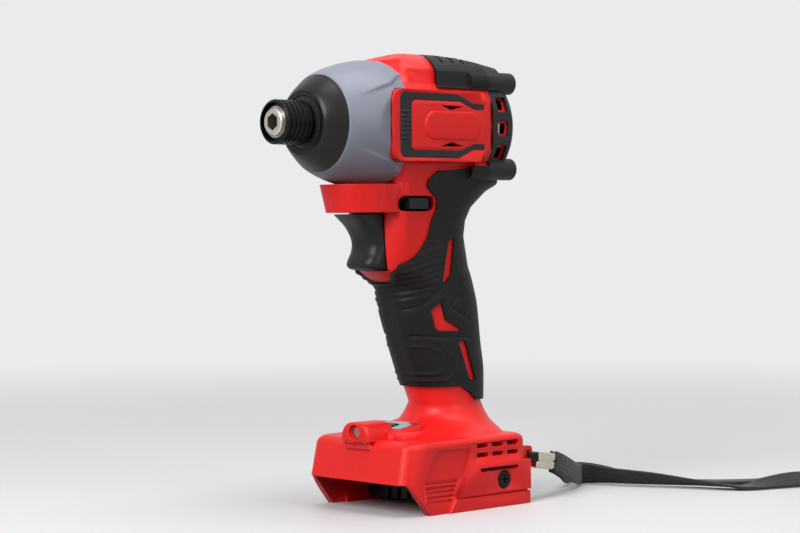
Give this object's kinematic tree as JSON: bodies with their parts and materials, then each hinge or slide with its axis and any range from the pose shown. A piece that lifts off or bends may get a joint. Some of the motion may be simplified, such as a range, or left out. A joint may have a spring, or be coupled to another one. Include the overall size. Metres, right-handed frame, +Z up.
{
  "type": "cordless impact driver",
  "caption": "Bare pistol-grip cordless impact driver with hex bit sleeve, trigger, direction lever, planetary hammer drive, open battery bay and wrist strap.",
  "frame": {"origin": "middle of the standing face under the tool's box, strap left out", "axes": "+X out of the nose along the drive, +Y to the tool's left side, +Z up"},
  "size_m": [0.3088, 0.155, 0.2046],
  "materials": {
    "red_shell": "fine moulded texture",
    "soft_black": "matte",
    "black_plastic": "fine texture",
    "grey_cover": "satin",
    "steel": "satin",
    "black_steel": "black oxide",
    "alloy": "as cast",
    "brass": "turned",
    "copper": "enamelled",
    "board": "solder mask",
    "clear_lens": "clear",
    "gloss_black": "glossy film",
    "strap_webbing": "woven",
    "nickel": "nickel plate"
  },
  "bodies": {
    "tool_body": {"left_housing": "red_shell", "right_housing": "red_shell", "left_grip": "soft_black", "right_grip": "soft_black", "top_pad": "soft_black", "left_side_trim": "black_plastic", "right_side_trim": "black_plastic", "rear_cover": "black_plastic", "rear_cover_screws": "steel", "housing_screws": "steel", "hook_screw": "black_steel", "hook_inserts": "brass", "nose_cover": "grey_cover", "nose_bumper": "soft_black", "hammer_case": "alloy", "anvil_bush": "brass", "ring_gear": "steel", "spindle_bearing": "steel", "gear_plate": "black_plastic", "front_bearing": "steel", "rear_bearing": "steel", "stator_core": "steel", "stator_coils": "copper", "switch_body": "black_plastic", "trigger_spring": "steel", "lens": "clear_lens", "light_board": "board", "control_panel": "gloss_black", "control_board": "board", "terminal_block": "black_plastic", "terminals": "copper", "strap_loop": "strap_webbing", "strap_crimp": "nickel", "wrist_strap": "strap_webbing"},
    "trigger_body": {"trigger": "black_plastic"},
    "direction_lever_body": {"direction_lever": "black_plastic"},
    "mode_button_body": {"mode_button": "gloss_black"},
    "spindle_body": {"spindle": "steel", "cam_balls": "steel", "planet_pins": "steel", "hammer_spring": "steel"},
    "planet_1": {"planet_gear_1": "steel"},
    "planet_2": {"planet_gear_2": "steel"},
    "planet_3": {"planet_gear_3": "steel"},
    "rotor_body": {"motor_shaft": "steel", "rotor_core": "steel", "fan": "black_plastic"},
    "anvil_body": {"anvil": "steel", "snap_ring": "steel", "sleeve_washer": "black_steel", "sleeve_spring": "steel"},
    "sleeve_body": {"bit_sleeve": "black_steel"},
    "bit_ball_body": {"bit_ball": "steel"},
    "hammer_carriage": {"thrust_washer": "steel"},
    "hammer_body": {"hammer": "steel"}
  },
  "joints": [
    {"name": "trigger_slide", "type": "slide", "parent": "tool_body", "child": "trigger_body", "axis": [-1, 0, 0], "range_m": [0, 0.006], "stiffness_N_per_m": 900, "springref_m": -0.004, "deforming": ["trigger_spring"]},
    {"name": "lever_swing", "type": "hinge", "parent": "tool_body", "child": "direction_lever_body", "pos_m": [-0.01985, 0, 0.1367], "axis": [0, 0, 1], "range_deg": [-8, 8]},
    {"name": "button_press", "type": "slide", "parent": "tool_body", "child": "mode_button_body", "axis": [0, 0, -1], "range_m": [0, 0.0006], "stiffness_N_per_m": 2500, "springref_m": -0.0002},
    {"name": "spindle_spin", "type": "hinge", "parent": "tool_body", "child": "spindle_body", "pos_m": [0, 0, 0.172], "axis": [1, 0, 0], "continuous": true},
    {"name": "rotor_spin", "type": "hinge", "parent": "tool_body", "child": "rotor_body", "pos_m": [0, 0, 0.172], "axis": [1, 0, 0], "continuous": true},
    {"name": "anvil_spin", "type": "hinge", "parent": "tool_body", "child": "anvil_body", "pos_m": [0.048, 0, 0.172], "axis": [1, 0, 0], "continuous": true},
    {"name": "sleeve_slide", "type": "slide", "parent": "anvil_body", "child": "sleeve_body", "axis": [1, 0, 0], "range_m": [0, 0.004], "stiffness_N_per_m": 1500, "springref_m": -0.002, "deforming": ["sleeve_spring"]},
    {"name": "ball_slide", "type": "slide", "parent": "anvil_body", "child": "bit_ball_body", "axis": [0, 1, 0], "range_m": [0, 0.001]},
    {"name": "hammer_slide", "type": "slide", "parent": "spindle_body", "child": "hammer_carriage", "axis": [-1, 0, 0], "range_m": [0, 0.007], "stiffness_N_per_m": 6000, "springref_m": -0.004, "deforming": ["hammer_spring"]},
    {"name": "hammer_turn", "type": "hinge", "parent": "hammer_carriage", "child": "hammer_body", "pos_m": [0, 0, 0.172], "axis": [1, 0, 0], "range_deg": [0, 40]},
    {"name": "planet_1_spin", "type": "hinge", "parent": "spindle_body", "child": "planet_1", "pos_m": [-0.0129, 0.012, 0.172], "axis": [1, 0, 0], "continuous": true},
    {"name": "planet_2_spin", "type": "hinge", "parent": "spindle_body", "child": "planet_2", "pos_m": [-0.0129, -0.006, 0.18239], "axis": [1, 0, 0], "continuous": true},
    {"name": "planet_3_spin", "type": "hinge", "parent": "spindle_body", "child": "planet_3", "pos_m": [-0.0129, -0.006, 0.16161], "axis": [1, 0, 0], "continuous": true}
  ],
  "couplings": [
    {"joint": "rotor_spin", "follows": "spindle_spin", "ratio": 6.6667},
    {"joint": "anvil_spin", "follows": "spindle_spin", "ratio": 1},
    {"joint": "planet_1_spin", "follows": "spindle_spin", "ratio": -2.4286},
    {"joint": "planet_2_spin", "follows": "spindle_spin", "ratio": -2.4286},
    {"joint": "planet_3_spin", "follows": "spindle_spin", "ratio": -2.4286},
    {"joint": "hammer_turn", "follows": "hammer_slide", "rad_per_m": 99.733},
    {"joint": "ball_slide", "follows": "sleeve_slide", "ratio": 0.25}
  ]
}
